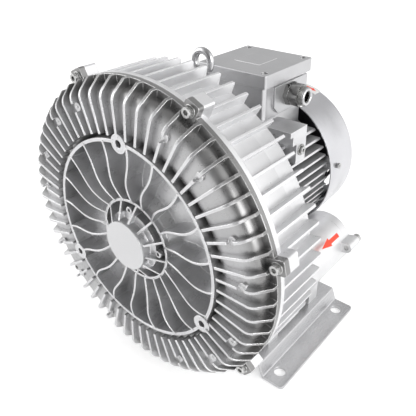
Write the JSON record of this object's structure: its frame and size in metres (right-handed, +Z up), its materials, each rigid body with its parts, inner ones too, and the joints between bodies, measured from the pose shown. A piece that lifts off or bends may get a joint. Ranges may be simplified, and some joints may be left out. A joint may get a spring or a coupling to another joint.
{
  "type": "side channel blower",
  "caption": "Side channel blower: finned cast flow chamber with an S-ribbed front cover, flange motor with terminal box, twin silencers with threaded ports and folded sheet feet.",
  "frame": {"origin": "on the floor in the middle of the four foot holes", "axes": "+Z up; +Y along the shaft from the finned front cover to the fan cowl; +X to the inlet port's side"},
  "size_m": [0.3792, 0.3507, 0.383],
  "materials": {
    "cast_body": "satin metallic grey on die-cast aluminium",
    "cover_casting": "fine blasted die-cast aluminium",
    "plain_disc": "satin light grey",
    "plated_steel": "zinc plated",
    "bright_steel": "polished and plated",
    "turned_steel": "turned",
    "bearing_steel": "ground",
    "machined_aluminium": "as cast with machined rims",
    "sheet_cowl": "satin metallic grey",
    "foot_sheet": "satin grey",
    "nickel_brass": "nickel plated",
    "lamination": "stacked sheet",
    "copper": "varnished wire",
    "brass": "plain",
    "black_rubber": "matte",
    "grey_foam": "open cell foam",
    "board_plastic": "moulded",
    "cage_plastic": "moulded"
  },
  "bodies": {
    "housing": {"front_cover": "cover_casting", "centre_disc": "plain_disc", "casing": "cast_body", "seam_seal": "black_rubber", "clamp_screws": "plated_steel", "eyebolt": "bright_steel", "shaft_seal": "black_rubber", "silencer_screws": "plated_steel", "port_screws": "plated_steel", "foot_screws": "plated_steel", "motor_frame": "cast_body", "motor_bolts": "plated_steel", "earth_screw": "plated_steel", "stator_core": "lamination", "stator_winding": "copper", "rear_shield": "cast_body", "shield_screws": "plated_steel", "wave_washer": "turned_steel", "fan_cowl": "sheet_cowl", "cowl_screws": "plated_steel", "box_seat_gasket": "black_rubber", "terminal_box": "cast_body", "lid_gasket": "black_rubber", "terminal_lid": "cast_body", "lid_screws": "plated_steel", "terminal_board": "board_plastic", "terminal_studs": "brass", "gland_body": "nickel_brass", "gland_seal": "black_rubber", "gland_nut": "nickel_brass", "front_bearing_outer_ring": "bearing_steel", "rear_bearing_outer_ring": "bearing_steel", "inlet_silencer": "cast_body", "inlet_gasket": "black_rubber", "inlet_foam": "grey_foam", "inlet_liner": "turned_steel", "inlet_port_flange": "cast_body", "outlet_silencer": "cast_body", "outlet_gasket": "black_rubber", "outlet_foam": "grey_foam", "outlet_liner": "turned_steel", "outlet_port_flange": "cast_body", "foot_right": "foot_sheet", "foot_left": "foot_sheet"},
    "rotor": {"shaft": "turned_steel", "impeller": "machined_aluminium", "impeller_key": "turned_steel", "impeller_spacer": "turned_steel", "shaft_nut": "plated_steel", "rotor_core": "lamination", "rotor_cage": "machined_aluminium", "cooling_fan": "board_plastic", "fan_circlip": "turned_steel", "front_bearing_inner_ring": "bearing_steel", "rear_bearing_inner_ring": "bearing_steel"},
    "front_balls": {"front_bearing_balls": "bearing_steel", "front_bearing_cage": "cage_plastic"},
    "rear_balls": {"rear_bearing_balls": "bearing_steel", "rear_bearing_cage": "cage_plastic"}
  },
  "joints": [
    {"name": "rotor_spin", "type": "hinge", "parent": "housing", "child": "rotor", "pos_m": [0, 0, 0.195], "axis": [0, 1, 0], "continuous": true},
    {"name": "front_cage_spin", "type": "hinge", "parent": "housing", "child": "front_balls", "pos_m": [0, -0.156, 0.195], "axis": [0, 1, 0], "continuous": true},
    {"name": "rear_cage_spin", "type": "hinge", "parent": "housing", "child": "rear_balls", "pos_m": [0, 0.111, 0.195], "axis": [0, 1, 0], "continuous": true}
  ],
  "couplings": [
    {"joint": "front_cage_spin", "follows": "rotor_spin", "ratio": 0.3991},
    {"joint": "rear_cage_spin", "follows": "rotor_spin", "ratio": 0.3983}
  ]
}
